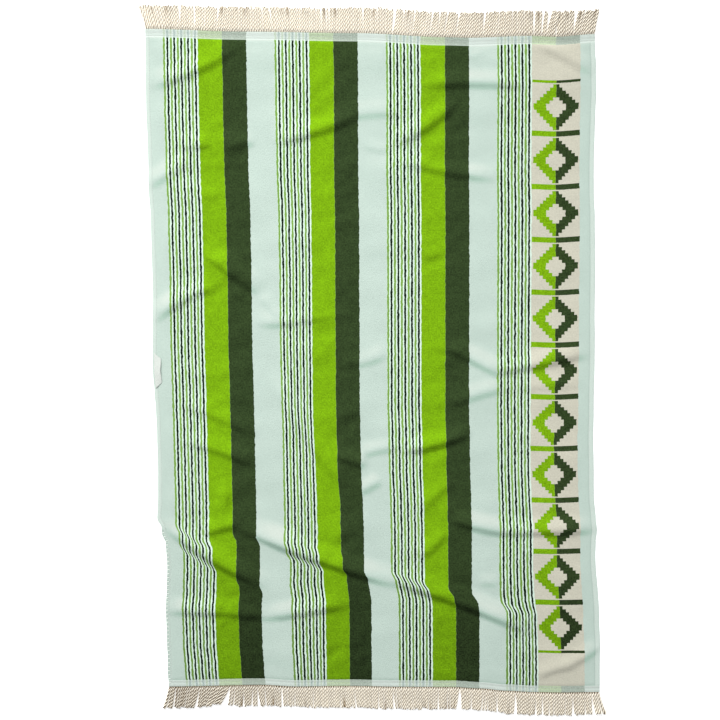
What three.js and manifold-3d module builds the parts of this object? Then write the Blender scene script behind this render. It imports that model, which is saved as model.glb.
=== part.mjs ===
// A fringed bath sheet: one length of striped terry cloth, spread out flat and face up,
// with the soft wrinkles that stay in cloth after it is laid down by hand.
// Millimetres. +X runs across the sheet, +Y towards its top end, +Z up. The origin is the
// middle of the box round the whole sheet, on the surface that it lies on.

import * as THREE from 'three';
import { mergeVertices } from 'three/addons/utils/BufferGeometryUtils.js';
import Module from 'manifold-3d';

const wasm = await Module();
wasm.setup();

// The cloth
const CLOTH_WIDTH = 1000;
const CLOTH_LENGTH = 1487; // between the two ends as it lies, wrinkles included
const PILE_THICK = 3.0;
const END_HEM = 18; // flat woven ends, turned and stitched
const END_HEM_THICK = 2.2;
const SIDE_HEM = 10; // turned selvedges
const SIDE_HEM_THICK = 2.6;
const HEM_STEP = 4; // the pile rises beside a hem over this width

// The mesh of the cloth: even columns, and rows that are closer where it is wrinkled most
const COLUMNS = 33;
const ROW_ZONES = [
  { to: 1090, rows: 32 },
  { to: 1385, rows: 17 },
  { to: CLOTH_LENGTH - END_HEM - HEM_STEP, rows: 3 },
];

// The two ends of the cloth, as heights in the plan at places across the sheet
const TOP_EDGE = [
  { at: -500, y: 753 }, { at: -283, y: 747 }, { at: -25, y: 743.5 }, { at: 170, y: 734.5 },
  { at: 222, y: 733.5 }, { at: 355, y: 737.5 }, { at: 410, y: 735.5 }, { at: 500, y: 741.5 },
];
const BOTTOM_EDGE = [
  { at: -500, y: -739 }, { at: -278, y: -735 }, { at: -211, y: -739 }, { at: -84, y: -737.5 },
  { at: 44, y: -739.5 }, { at: 157, y: -740 }, { at: 222, y: -743.5 }, { at: 284, y: -749 },
  { at: 348, y: -752 }, { at: 413, y: -753 }, { at: 500, y: -752 },
];

// How far the cloth lies to the right of straight, down the whole sheet
const DRIFT = [
  { at: -740, shift: 1.5 }, { at: -550, shift: 0.5 }, { at: -383, shift: -0.5 },
  { at: -328, shift: -2 }, { at: -217, shift: -5.5 }, { at: -162, shift: -6.5 },
  { at: -80, shift: -8.5 }, { at: 191, shift: -9.5 }, { at: 326, shift: -10 },
  { at: 460, shift: -12 }, { at: 592, shift: -12 }, { at: 750, shift: -13.5 },
];
// The left and right parts are drawn in or let out beside it, in full from one place across
const LEFT_PULL = {
  none: -100, full: -250,
  rows: [
    { at: -460, shift: 0 }, { at: -328, shift: 2.5 }, { at: -217, shift: 7 },
    { at: -80, shift: 8 }, { at: 56, shift: 5.5 }, { at: 191, shift: 5.5 },
    { at: 326, shift: 4 }, { at: 460, shift: 2 }, { at: 592, shift: 0 },
  ],
};
const RIGHT_PULL = {
  none: 230, full: 430,
  rows: [
    { at: -750, shift: 12 }, { at: -650, shift: 11 }, { at: -583, shift: 8 },
    { at: -443, shift: 0.5 }, { at: -350, shift: 0 }, { at: -300, shift: -3 },
    { at: -170, shift: -3 }, { at: -100, shift: 0 },
  ],
};
// Slips: across each line the cloth below it has moved to the right. A slip grows over its
// rise and dies away over its fall, which are places across the sheet.
const SLIPS = [
  { from: [-486, -352], to: [-261, -495], spread: 80, shift: 17, rise: [-900, -800], fall: [-470, -200] },
  { from: [-326, -358], to: [360, -602], spread: 60, shift: 17, rise: [-470, -200], fall: [230, 430] },
  { from: [-258, -12], to: [-64, -305], spread: 60, shift: 3, rise: [-250, -150], fall: [-60, 0] },
];

// Wrinkles: each is a ridge that rises steeply from its line and falls away gently behind it.
// It stands on the +Y side of the line, or on its left where the line runs upwards. bow is how
// far the line's middle stands off its chord, high the ridge's height, steep and long the
// widths of its two sides.
const WRINKLES = [
  { from: [-510, 612], to: [-280, 716], bow: -14, high: 8, steep: 15, long: 42 },
  { from: [-510, 388], to: [-395, 458], bow: 0, high: 5, steep: 16, long: 34 },
  { from: [-445, 478], to: [-355, 486], bow: 0, high: 5, steep: 14, long: 30 },
  { from: [-345, 474], to: [-262, 492], bow: 3, high: 5, steep: 14, long: 30 },
  { from: [-235, 488], to: [-20, 556], bow: -8, high: 9, steep: 15, long: 40 },
  { from: [-90, 540], to: [75, 552], bow: 7, high: 6, steep: 15, long: 36 },
  { from: [35, 480], to: [200, 590], bow: -9, high: 8, steep: 15, long: 38 },
  { from: [80, 612], to: [360, 610], bow: 9, high: 9, steep: 15, long: 38 },
  { from: [335, 712], to: [485, 636], bow: 4, high: 5, steep: 18, long: 34 },
  { from: [25, 456], to: [285, 408], bow: -7, high: 6, steep: 15, long: 32 },
  { from: [-405, 252], to: [-262, 148], bow: 0, high: 8, steep: 16, long: 42 },
  { from: [-500, 84], to: [-335, 172], bow: 14, high: 8, steep: 16, long: 38 },
  { from: [-285, 88], to: [-75, 118], bow: -15, high: 7, steep: 15, long: 38 },
  { from: [-98, -8], to: [40, 24], bow: -12, high: 7, steep: 14, long: 32 },
  { from: [132, 38], to: [290, -40], bow: 4, high: 8, steep: 15, long: 38 },
  { from: [240, -30], to: [500, 20], bow: -4, high: 8, steep: 16, long: 38 },
  { from: [150, -112], to: [320, -60], bow: 8, high: 5, steep: 16, long: 34 },
  { from: [-45, -220], to: [70, -196], bow: 6, high: 6, steep: 14, long: 30 },
  { from: [50, -206], to: [230, -158], bow: -8, high: 10, steep: 14, long: 38 },
  { from: [-102, -214], to: [-20, -240], bow: 0, high: 7, steep: 15, long: 30 },
  { from: [-258, -12], to: [-64, -305], bow: -15, high: 5, steep: 20, long: 34 },
  { from: [-465, -92], to: [-262, -176], bow: 5, high: 7, steep: 15, long: 34 },
  { from: [-455, -178], to: [-262, -246], bow: 6, high: 10, steep: 15, long: 38 },
  { from: [-328, -380], to: [-328, -255], bow: 0, high: 6, steep: 16, long: 34 },
  { from: [-395, -402], to: [-300, -374], bow: 6, high: 8, steep: 15, long: 34 },
  { from: [-340, -372], to: [70, -522], bow: -8, high: 14, steep: 16, long: 46 },
  { from: [-10, -492], to: [375, -636], bow: 9, high: 14, steep: 16, long: 46 },
  { from: [-505, -362], to: [-245, -522], bow: -13, high: 13, steep: 16, long: 42 },
  { from: [-500, -576], to: [-220, -594], bow: 7, high: 8, steep: 15, long: 38 },
  { from: [-280, -592], to: [-40, -552], bow: -5, high: 8, steep: 15, long: 38 },
  { from: [155, -360], to: [320, -396], bow: -4, high: 9, steep: 15, long: 40 },
  { from: [250, -392], to: [520, -384], bow: -3, high: 8, steep: 15, long: 38 },
  { from: [118, -345], to: [198, -270], bow: 10, high: 5, steep: 16, long: 30 },
  { from: [104, -450], to: [174, -380], bow: -8, high: 6, steep: 16, long: 32 },
  { from: [380, -704], to: [520, -632], bow: -26, high: 9, steep: 16, long: 38 },
  { from: [-35, -302], to: [24, -268], bow: 0, high: 5, steep: 15, long: 28 },
];
const WRINKLE_TAPER = 0.3; // share of a wrinkle's length over which each end dies away
const END_CALM = 30; // the wrinkles die away this close to the two ends

// The fringe: twisted cords on a narrow heading along each end
const STRANDS = 146; // at each end
const STRAND_LENGTH = 52;
const STRAND_WIDE = 4.7;
const STRAND_HIGH = 4.2;
const TIP_SHARE = 0.86; // width of a strand's tip as a share of its root's
const LENGTH_PLAY = 3; // how ragged the tips are, and the two waves along the hem that it follows
const RAGGED_WAVES = [2.4, 0.37];
const LEAN_BEND = 1.4; // a strand leans more and more towards its tip
const HEADING_DEEP = 4;
const HEADING_HIGH = 4.4;
const ROOT_DEPTH = 2.2; // how deep a strand's root sits in the heading
const END_MARGIN = 3.5; // from the side of the cloth to the middle of the outermost strand
const GAP = 0.3; // between pieces
// Where the cords part: the place at the hem, the place at the tips, and the slit's width
const TOP_SLITS = [
  { root: -513, tip: -527, open: 0 }, { root: -436, tip: -435, open: 4.5 },
  { root: -406, tip: -406, open: 3.5 }, { root: -353, tip: -348, open: 3.5 },
  { root: -229, tip: -236, open: 4 }, { root: -122, tip: -122, open: 4 },
  { root: -28, tip: -27, open: 3 }, { root: 36, tip: 42, open: 6.5 },
  { root: 78, tip: 84, open: 3.5 }, { root: 120, tip: 129, open: 3.5 },
  { root: 180, tip: 187, open: 4 }, { root: 238, tip: 243, open: 4 },
  { root: 350, tip: 350, open: 4.5 }, { root: 374, tip: 380, open: 6 },
  { root: 440, tip: 446, open: 6 }, { root: 485, tip: 495, open: 0 },
];
const BOTTOM_SLITS = [
  { root: -478, tip: -487, open: 0 }, { root: -408, tip: -416, open: 7 },
  { root: -333, tip: -348, open: 13 }, { root: -280, tip: -284, open: 5 },
  { root: -258, tip: -256, open: 5 }, { root: -217, tip: -216, open: 4 },
  { root: -48, tip: -44, open: 4 }, { root: 40, tip: 43, open: 6 },
  { root: 142, tip: 143, open: 4 }, { root: 191, tip: 188, open: 12 },
  { root: 246, tip: 244, open: 6 }, { root: 321, tip: 321, open: 7 },
  { root: 370, tip: 370, open: 4.5 }, { root: 454, tip: 454, open: 4.5 },
  { root: 502, tip: 507, open: 5 }, { root: 516, tip: 533, open: 0 },
];

// The hanging loop: a short tape at the left side, both ends sewn in under the side hem
const LOOP_MIDDLE = -11; // its place along the sheet
const LOOP_REACH = 12.5; // how far it stands in from the hem
const LOOP_LONG = 80; // along the hem
const LOOP_SHORT = 54; // along its free side
const LOOP_THICK = 1.2;
const LOOP_RISE = 1.6; // the free side stands this much off the cloth
const LOOP_FLATTEST = 0.35; // share of the rise along the side that is sewn in
const LOOP_COLUMNS = 3;
const LOOP_STEPS = 8;

function smooth(t) {
  const s = Math.min(Math.max(t, 0), 1);
  return s * s * (3 - 2 * s);
}

// The value of one column of a table, eased between the rows on either side of a place
function read(table, column, place) {
  if (place <= table[0].at) return table[0][column];
  for (let i = 1; i < table.length; i += 1) {
    const before = table[i - 1];
    const after = table[i];
    if (place <= after.at) {
      const share = (place - before.at) / (after.at - before.at);
      return before[column] + (after[column] - before[column]) * smooth(share);
    }
  }
  return table[table.length - 1][column];
}

// Where a point lies beside a line: share along it, distance above it, and its length
function beside(from, to, x, y) {
  const dx = to[0] - from[0];
  const dy = to[1] - from[1];
  const length = Math.hypot(dx, dy);
  const share = ((x - from[0]) * dx + (y - from[1]) * dy) / (length * length);
  const above = ((y - from[1]) * dx - (x - from[0]) * dy) / length;
  return { share, above, length };
}

function pull(side, x, y) {
  return read(side.rows, 'shift', y) * smooth((x - side.none) / (side.full - side.none));
}

function slips(x, y) {
  let sum = 0;
  for (const slip of SLIPS) {
    const { above } = beside(slip.from, slip.to, x, y);
    const grown = smooth((x - slip.rise[0]) / (slip.rise[1] - slip.rise[0]));
    const left = 1 - smooth((x - slip.fall[0]) / (slip.fall[1] - slip.fall[0]));
    sum += slip.shift * grown * left * smooth(0.5 - above / slip.spread);
  }
  return sum;
}

// How high the wrinkles lift the cloth's underside at a place in the plan
function lift(x, y) {
  let sum = 0;
  for (const fold of WRINKLES) {
    const { share, above } = beside(fold.from, fold.to, x, y);
    if (share > 0 && share < 1) {
      const side = above - fold.bow * 4 * share * (1 - share);
      const shape = side < fold.steep
        ? smooth(side / fold.steep)
        : 1 - smooth((side - fold.steep) / fold.long);
      const taper = smooth(share / WRINKLE_TAPER) * smooth((1 - share) / WRINKLE_TAPER);
      sum += (fold.high * shape * taper) ** 2;
    }
  }
  return Math.sqrt(sum);
}

// From a place in the cloth (across from the middle, down from the top end) to the plan
function lay(across, down) {
  const top = read(TOP_EDGE, 'y', across);
  const bottom = read(BOTTOM_EDGE, 'y', across);
  const y = top + (bottom - top) * down / CLOTH_LENGTH;
  const start = across + read(DRIFT, 'shift', y);
  const x = start + pull(LEFT_PULL, start, y) + pull(RIGHT_PULL, start, y) + slips(start, y);
  return { x, y };
}

// A closed sheet over a grid of places, where place(i, j) gives x, y, low and high. Columns
// run to the right, and rows run down the plan.
function sheet(columns, rows, place) {
  const across = columns + 1;
  const count = across * (rows + 1);
  const positions = [];
  for (const side of ['high', 'low']) {
    for (let j = 0; j <= rows; j += 1) {
      for (let i = 0; i <= columns; i += 1) {
        const point = place(i, j);
        positions.push(point.x, point.y, point[side]);
      }
    }
  }
  const index = [];
  const quad = (a, b, c, d) => index.push(a, b, c, a, c, d);
  for (let j = 0; j < rows; j += 1) {
    for (let i = 0; i < columns; i += 1) {
      const a = j * across + i;
      const below = a + across;
      quad(a, below, below + 1, a + 1);
      quad(count + a, count + a + 1, count + below + 1, count + below);
    }
  }
  const rim = (a, b) => quad(a, b, count + b, count + a);
  for (let i = 0; i < columns; i += 1) {
    rim(i, i + 1);
    rim(rows * across + i + 1, rows * across + i);
  }
  for (let j = 0; j < rows; j += 1) {
    rim((j + 1) * across, j * across);
    rim(j * across + columns, (j + 1) * across + columns);
  }
  return buffer(positions, index);
}

function buffer(positions, index) {
  const geometry = new THREE.BufferGeometry();
  geometry.setAttribute('position', new THREE.Float32BufferAttribute(positions, 3));
  geometry.setIndex(index);
  geometry.computeVertexNormals();
  return geometry;
}

function toSolid(geometry) {
  const bare = geometry.clone();
  bare.deleteAttribute('normal');
  const merged = mergeVertices(bare, 1e-4);
  return new wasm.Manifold(new wasm.Mesh({
    numProp: 3,
    vertProperties: new Float32Array(merged.attributes.position.array),
    triVerts: new Uint32Array(merged.index.array),
  }));
}

function toGeometry(solid) {
  const mesh = solid.getMesh();
  return buffer(Array.from(mesh.vertProperties), Array.from(mesh.triVerts));
}

// The lines of the cloth's mesh, with a pair beside each hem
function columnLines() {
  const half = CLOTH_WIDTH / 2;
  const inner = half - SIDE_HEM - HEM_STEP;
  const lines = [-half, -half + SIDE_HEM];
  for (let i = 0; i <= COLUMNS; i += 1) lines.push(-inner + 2 * inner * i / COLUMNS);
  lines.push(half - SIDE_HEM, half);
  return lines;
}

function rowLines() {
  const lines = [0, END_HEM, END_HEM + HEM_STEP];
  for (const zone of ROW_ZONES) {
    const start = lines[lines.length - 1];
    for (let i = 1; i <= zone.rows; i += 1) lines.push(start + (zone.to - start) * i / zone.rows);
  }
  lines.push(CLOTH_LENGTH - END_HEM, CLOTH_LENGTH);
  return lines;
}

function clothThickness(across, down) {
  const fromSide = CLOTH_WIDTH / 2 - Math.abs(across);
  const fromEnd = Math.min(down, CLOTH_LENGTH - down);
  const side = SIDE_HEM_THICK + (PILE_THICK - SIDE_HEM_THICK) * smooth((fromSide - SIDE_HEM) / HEM_STEP);
  const end = END_HEM_THICK + (PILE_THICK - END_HEM_THICK) * smooth((fromEnd - END_HEM) / HEM_STEP);
  return Math.min(side, end);
}

function clothGeometry() {
  const columns = columnLines();
  const rows = rowLines();
  return sheet(columns.length - 1, rows.length - 1, (i, j) => {
    const { x, y } = lay(columns[i], rows[j]);
    const fromEnd = Math.min(rows[j], CLOTH_LENGTH - rows[j]);
    const low = lift(x, y) * smooth(fromEnd / END_CALM);
    return { x, y, low, high: low + clothThickness(columns[i], rows[j]) };
  });
}

// One cord as a three-sided bar that lies on its flat side: from root to tip over its middle
function strand(path) {
  const positions = [];
  path.forEach((point, k) => {
    const size = 1 + (TIP_SHARE - 1) * k / (path.length - 1);
    const half = STRAND_WIDE * size / 2;
    positions.push(point.x - half, point.y, 0, point.x + half, point.y, 0);
    positions.push(point.x, point.y, STRAND_HIGH * size);
  });
  const upward = path[path.length - 1].y > path[0].y;
  const index = [];
  const face = (a, b, c) => (upward ? index.push(a, b, c) : index.push(a, c, b));
  const last = (path.length - 1) * 3;
  face(0, 1, 2);
  face(last, last + 2, last + 1);
  for (let k = 0; k < last; k += 3) {
    for (let s = 0; s < 3; s += 1) {
      const t = (s + 1) % 3;
      face(k + s, k + 3 + s, k + 3 + t);
      face(k + s, k + 3 + t, k + t);
    }
  }
  return buffer(positions, index);
}

// Where a cord lies: its place at the hem and at its tip, between the slits beside it
function combed(slits, place) {
  let i = 1;
  while (i < slits.length - 1 && slits[i].root < place) i += 1;
  const before = slits[i - 1];
  const after = slits[i];
  const share = (place - before.root) / (after.root - before.root);
  const start = before.tip + before.open / 2;
  return start + (after.tip - after.open / 2 - start) * share;
}

// A fringe: its heading along one end of the cloth, with every cord grown from it
function fringeGeometry(down, outward, slits) {
  const edge = (across) => {
    const point = lay(across, down);
    return { x: point.x, y: point.y + outward * GAP };
  };
  const half = CLOTH_WIDTH / 2;
  const lines = columnLines();
  const heading = sheet(lines.length - 1, 1, (i, j) => {
    const point = edge(lines[i]);
    const far = outward > 0 ? 1 - j : j;
    return { x: point.x, y: point.y + outward * HEADING_DEEP * far, low: 0, high: HEADING_HIGH };
  });
  const solids = [toSolid(heading)];
  for (let n = 0; n < STRANDS; n += 1) {
    const across = -half + END_MARGIN + (CLOTH_WIDTH - 2 * END_MARGIN) * n / (STRANDS - 1);
    const root = edge(across);
    const tip = combed(slits, root.x);
    const ragged = LENGTH_PLAY * Math.sin(n * RAGGED_WAVES[0]) * Math.sin(n * RAGGED_WAVES[1]);
    const lean = tip - root.x;
    const along = (reach) => ({
      x: root.x + lean * (reach / STRAND_LENGTH) ** LEAN_BEND,
      y: root.y + outward * reach,
    });
    const start = HEADING_DEEP - ROOT_DEPTH;
    const bar = strand([along(start), along(STRAND_LENGTH / 2), along(STRAND_LENGTH + ragged)]);
    solids.push(toSolid(bar));
  }
  return toGeometry(wasm.Manifold.union(solids));
}

function loopGeometry() {
  const down = read(TOP_EDGE, 'y', -CLOTH_WIDTH / 2) - LOOP_MIDDLE;
  return sheet(LOOP_COLUMNS, LOOP_STEPS, (i, j) => {
    const reach = i / LOOP_COLUMNS;
    const length = LOOP_LONG + (LOOP_SHORT - LOOP_LONG) * reach;
    const share = 0.5 - j / LOOP_STEPS;
    const place = lay(-CLOTH_WIDTH / 2 + SIDE_HEM + LOOP_REACH * reach, down - length * share);
    const arch = Math.cos(Math.PI * share) * LOOP_RISE * (LOOP_FLATTEST + (1 - LOOP_FLATTEST) * reach);
    const low = lift(place.x, place.y) + PILE_THICK + GAP + arch;
    return { x: place.x, y: place.y, low, high: low + LOOP_THICK };
  });
}

const CLOTH_LOOK = new THREE.MeshStandardMaterial({ color: 0xcfe6dc, roughness: 0.95, metalness: 0 });
const CORD_LOOK = new THREE.MeshStandardMaterial({ color: 0xece2d0, roughness: 0.9, metalness: 0 });
const TAPE_LOOK = new THREE.MeshStandardMaterial({ color: 0xe9efea, roughness: 0.85, metalness: 0 });

function named(name, geometry, material) {
  const mesh = new THREE.Mesh(geometry, material);
  mesh.name = name;
  return mesh;
}

const bathSheet = new THREE.Group();
bathSheet.add(
  named('cloth', clothGeometry(), CLOTH_LOOK),
  named('fringe_top', fringeGeometry(0, 1, TOP_SLITS), CORD_LOOK),
  named('fringe_bottom', fringeGeometry(CLOTH_LENGTH, -1, BOTTOM_SLITS), CORD_LOOK),
  named('hanging_loop', loopGeometry(), TAPE_LOOK),
);

// The middle of the box round everything goes over the origin
const middle = new THREE.Box3().setFromObject(bathSheet, true).getCenter(new THREE.Vector3());
for (const mesh of bathSheet.children) mesh.position.set(-middle.x, -middle.y, 0);

export default bathSheet;
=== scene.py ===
"""A fringed bath sheet, spread out flat and face up on a pale floor.

The cloth is one striped terry sheet with soft wrinkles, flat woven end hems and narrow side
hems. Twisted cotton cords make a fringe along both ends, and a white tape loop is sewn in at
the left side. Lengths in the tables are millimetres; meshes are in metres.
"""
import math
from collections import namedtuple

import bpy
import numpy as np
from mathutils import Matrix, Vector


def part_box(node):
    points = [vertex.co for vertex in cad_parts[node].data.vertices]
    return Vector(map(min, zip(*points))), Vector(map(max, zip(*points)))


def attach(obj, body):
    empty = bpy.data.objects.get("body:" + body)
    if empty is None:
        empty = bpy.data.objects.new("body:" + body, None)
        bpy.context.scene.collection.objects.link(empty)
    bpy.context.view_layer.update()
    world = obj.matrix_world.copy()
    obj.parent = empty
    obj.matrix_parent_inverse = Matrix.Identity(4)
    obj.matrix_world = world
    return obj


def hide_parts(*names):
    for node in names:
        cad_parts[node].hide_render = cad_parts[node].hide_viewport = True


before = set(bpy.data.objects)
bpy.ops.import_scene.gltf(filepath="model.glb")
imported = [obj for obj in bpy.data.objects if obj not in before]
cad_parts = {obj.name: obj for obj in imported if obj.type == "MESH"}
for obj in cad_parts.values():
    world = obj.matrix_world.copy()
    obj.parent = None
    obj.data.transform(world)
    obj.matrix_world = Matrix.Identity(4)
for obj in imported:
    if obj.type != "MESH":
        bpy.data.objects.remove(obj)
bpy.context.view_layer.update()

MM = 0.001
SEED = 11
UP = np.array([0.0, 0.0, 1.0])

# The cloth: a place in it is across (from its middle) and down (from its top end)
CLOTH_WIDTH = 1000.0
HALF_WIDE = CLOTH_WIDTH / 2
CLOTH_LENGTH = 1487.0
PILE_THICK = 3.0
TOP_HEM = 18.0
BOTTOM_HEM = 15.5
END_HEM_THICK = 2.2
SIDE_HEM = 10.0
SIDE_HEM_THICK = 2.6
HEM_STEP = 2.5  # the pile rises beside a hem over this width
EDGE_ROUND = 1.2  # radius of the folded edges
EDGE_LINES = [0.0, 0.35, EDGE_ROUND, 2.6]  # the first mesh lines, from an edge in
EDGE_THINNED = 0.85  # 1 would take an edge to no thickness at all
COLUMNS = 160
ROWS = 236

# The two ends of the cloth in the plan: (place across, y)
TOP_EDGE = [
    (-500, 753), (-283, 747), (-25, 743.5), (170, 734.5), (222, 733.5),
    (355, 737.5), (410, 735.5), (500, 741.5),
]
BOTTOM_EDGE = [
    (-500, -739), (-278, -735), (-211, -739), (-84, -737.5), (44, -739.5), (157, -740),
    (222, -743.5), (284, -749), (348, -752), (413, -753), (500, -752),
]
# How far the cloth lies to the right of straight, down the whole sheet: (y, shift)
DRIFT = [
    (-740, 1.5), (-550, 0.5), (-383, -0.5), (-328, -2), (-217, -5.5), (-162, -6.5),
    (-80, -8.5), (191, -9.5), (326, -10), (460, -12), (592, -12), (750, -13.5),
]
# The left and right parts are drawn in or let out beside it, in full from one place across
Pull = namedtuple("Pull", "none full rows")
LEFT_PULL = Pull(-100, -250, [
    (-740, 5), (-690, 2.5), (-640, -0.5), (-560, -1.5), (-510, 1), (-460, 3), (-400, 3.5),
    (-328, 5.5), (-217, 7.5), (-80, 8), (56, 5.5), (191, 5.5), (326, 4), (460, 2), (592, 0),
])
RIGHT_PULL = Pull(230, 430, [
    (-750, 12), (-650, 11), (-583, 8), (-443, 0.5), (-350, 0), (-300, -3), (-170, -3),
    (-100, 0),
])
# The plain bands at the two sides bulge a little more, in full at the edges
LEFT_EDGE = Pull(-461, -500, [
    (-709, -0.5), (-681, 0.8), (-653, 2.5), (-610, 2.8), (-541, 2), (-457, 2.4), (-401, -0.8),
    (-374, 0), (-346, -2), (-318, 0), (-291, 1.1), (-236, 2.5), (-153, 2.2), (-98, 1.6),
    (-60, -0.5), (-16, -2.7), (25, -2), (92, 0), (160, 1.4), (228, 0.5), (335, 0.5),
    (390, -1.3), (415, -1.2), (442, 0), (522, -0.3), (575, -1.3), (628, -1.3), (681, 0),
])
RIGHT_EDGE = Pull(467, 500, [
    (-709, 2.1), (-597, 3.9), (-513, 3.6), (-429, 1.6), (-401, 2.4), (-374, 5), (-346, 3.3),
    (-291, 2.5), (-236, 3.9), (-181, 3.1), (-126, 2), (-71, 2.2), (11, 3.4), (65, 3.5),
    (119, 2.5), (201, 3), (281, 2), (335, 1), (389, -0.9), (469, -0.7), (522, 0.2), (575, 1.4),
    (615, 3), (654, 2), (681, 2), (707, 0),
])
# Slips: the cloth below each line has moved to the right, by a shift that changes across the
# sheet. line is (x, y), shifts is (x, shift) and spread is how far down a slip reaches.
Slip = namedtuple("Slip", "line shifts spread")
SLIPS = [
    Slip(
        [
            (-491, -358), (-448, -376), (-417, -400), (-387, -408), (-330, -392), (-280, -401),
            (-204, -410), (-143, -422), (-86, -431),
        ],
        [(-480, 8.5), (-270, 8.5), (-210, 4), (-90, 4), (-50, 0)], 20,
    ),
    Slip(
        [(-492, -392), (-449, -424), (-417, -445), (-387, -461), (-331, -498), (-280, -512)],
        [(-480, 9.5), (-380, 9), (-260, 7), (-215, 0)], 22,
    ),
    Slip(
        [
            (-205, -436), (-173, -447), (-143, -459), (-81, -471), (-24, -478), (45, -482),
            (74, -491), (106, -502), (164, -517), (219, -529), (308, -559),
        ],
        [(-260, 0), (-215, 9.5), (0, 9.5), (230, 10.5), (430, 0)], 22,
    ),
    Slip(
        [(-203, -520), (-81, -516), (51, -514), (113, -526), (230, -545)],
        [(-260, 0), (-215, 6), (-120, 5), (30, 8), (113, 8), (230, 7), (430, 0)], 50,
    ),
    Slip([(-258, -12), (-64, -305)], [(-250, 0), (-150, 3), (-60, 3), (0, 0)], 109),
]

# Wrinkles: each is a ridge that rises steeply from its line and falls away gently behind it.
# It stands on the +Y side of the line, or on its left where the line runs upwards. bow is how
# far the line's middle stands off its chord, steep and long are the widths of its two sides.
Wrinkle = namedtuple("Wrinkle", "start end bow high steep long")
WRINKLES = [Wrinkle(*row) for row in [
    ((-510, 612), (-280, 716), -14, 8, 15, 42), ((-510, 388), (-395, 458), 0, 5, 16, 34),
    ((-445, 478), (-355, 486), 0, 5, 14, 30), ((-345, 474), (-262, 492), 3, 5, 14, 30),
    ((-235, 488), (-20, 556), -8, 9, 15, 40), ((-90, 540), (75, 552), 7, 3.8, 15, 36),
    ((35, 480), (200, 590), -9, 8, 15, 38), ((80, 612), (360, 610), 9, 7.4, 15, 38),
    ((335, 712), (485, 636), 4, 5, 18, 34), ((25, 456), (285, 408), -7, 6, 15, 32),
    ((-405, 252), (-262, 148), 0, 8, 16, 42), ((-500, 84), (-335, 172), 14, 8, 16, 38),
    ((-285, 88), (-75, 118), -15, 5, 15, 38), ((-98, -8), (40, 24), -12, 3.8, 14, 32),
    ((132, 38), (290, -40), 4, 8, 15, 38), ((240, -30), (500, 20), -4, 8, 16, 38),
    ((150, -112), (320, -60), 8, 5, 16, 34), ((-45, -220), (70, -196), 6, 4.4, 14, 30),
    ((50, -206), (230, -158), -8, 10, 14, 38), ((-102, -214), (-20, -240), 0, 7, 15, 30),
    ((-258, -12), (-64, -305), -15, 5, 20, 34), ((-465, -92), (-262, -176), 5, 4.5, 15, 34),
    ((-455, -178), (-262, -246), 6, 6.5, 15, 38), ((-328, -380), (-328, -255), 0, 6, 16, 34),
    ((-395, -402), (-300, -374), 6, 8, 15, 34), ((-340, -372), (70, -522), -8, 12, 16, 46),
    ((-10, -492), (375, -636), 9, 12, 16, 46), ((-505, -362), (-245, -522), -13, 11.5, 16, 42),
    ((-500, -576), (-220, -594), 7, 8, 15, 38), ((-280, -592), (-40, -552), -5, 8, 15, 38),
    ((155, -360), (320, -396), -4, 9, 15, 40), ((250, -392), (520, -384), -3, 8, 15, 38),
    ((118, -345), (198, -270), 10, 5, 16, 30), ((104, -450), (174, -380), -8, 6, 16, 32),
    ((368, -732), (472, -702), 9, 5, 12, 30), ((425, -712), (528, -648), -4, 5.5, 13, 32),
    ((-35, -302), (24, -268), 0, 5, 15, 28),
]]
# Slight creases between the main wrinkles: most are straight and alike
STRAIGHT_CREASES = [
    ((-88, 428), (-36, 448)), ((-88, 397), (-36, 437)), ((105, 236), (150, 241)),
    ((-329, 153), (-300, 144)), ((-143, 45), (-88, 42)), ((208, 678), (270, 707)),
    ((116, -206), (123, -282)), ((231, -506), (284, -508)), ((-443, -629), (-369, -671)),
    ((-275, 158), (-224, 99)),
]
CREASES = [Wrinkle(start, end, 0, 2.5, 12, 26) for start, end in STRAIGHT_CREASES] + [
    Wrinkle((-400, 371), (-344, 375), 0, 2, 12, 26),
    Wrinkle((-36, 493), (42, 482), -12, 2, 12, 26),
    Wrinkle((274, -64), (484, -53), 0, 2.5, 14, 30),
]
WRINKLE_TAPER = 0.3  # share of a wrinkle's length over which each end dies away
END_CALM = 30.0  # the wrinkles die away this close to the two ends
SWELLS = 16  # waves in the slight unevenness between the wrinkles
SWELL_HIGH = 0.32
SWELL_BASE = 3.0  # the waves are cut off this far below their middle
SWELL_LONG = (45.0, 150.0)
SWELL_TURN = (0.0, math.pi)
# The thick dyed stripes pucker in short slanting ridges
PUCKERS = 26
PUCKER_HIGH = 0.17
PUCKER_LONG = (30.0, 75.0)
PUCKER_TURN = (0.5, 1.5)
PUCKER_EDGE = 8.0  # they die away this close to the sides of the two stripes
PUCKER_STEADY = 0.6  # this share of them is there all along, and the rest comes and goes
PUCKER_PATCH = 260.0
PUCKER_SLANT = 70.0
# Painted light and shade follow how far a slope faces the light: the slope down the cloth
# counts in full, the slope across by this share, and no more than this altogether
FACING_LIGHT_ACROSS = 0.26
FACING_LIGHT_MOST = 0.6
MINT_SLOPE = 0.4  # the slope at which mint's painted shade and painted light are full

# The stripes, as places across: one repeat is thin lines, lime, dark green and mint
STRIPES_START = -461.0
STRIPES_END = 359.3
REPEAT = 247.6
PAIR = 15.4  # one green and one dark thin line
THIN_GREEN = (0.6, 5.0)
THIN_DARK = (8.15, 12.5)
LIME = (77.7, 131.7)
DARK = (131.7, 185.5)
PANEL_END = 467.1
PANEL_SPLIT = 413.7  # the panel's figures are lime on its left half and dark on its right
# The panel's figures: stepped lozenges with an open middle, and a bar between each two
FIGURES_START = 96.0
FIGURES_END = 1394.0
FIGURE_PITCH = 118.0
FIGURE_STEP = 7.2
FIGURE_RING = (2.5, 6.5)  # steps from a lozenge's middle to its inner and outer edge
BAR_HALF = 6.0
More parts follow.
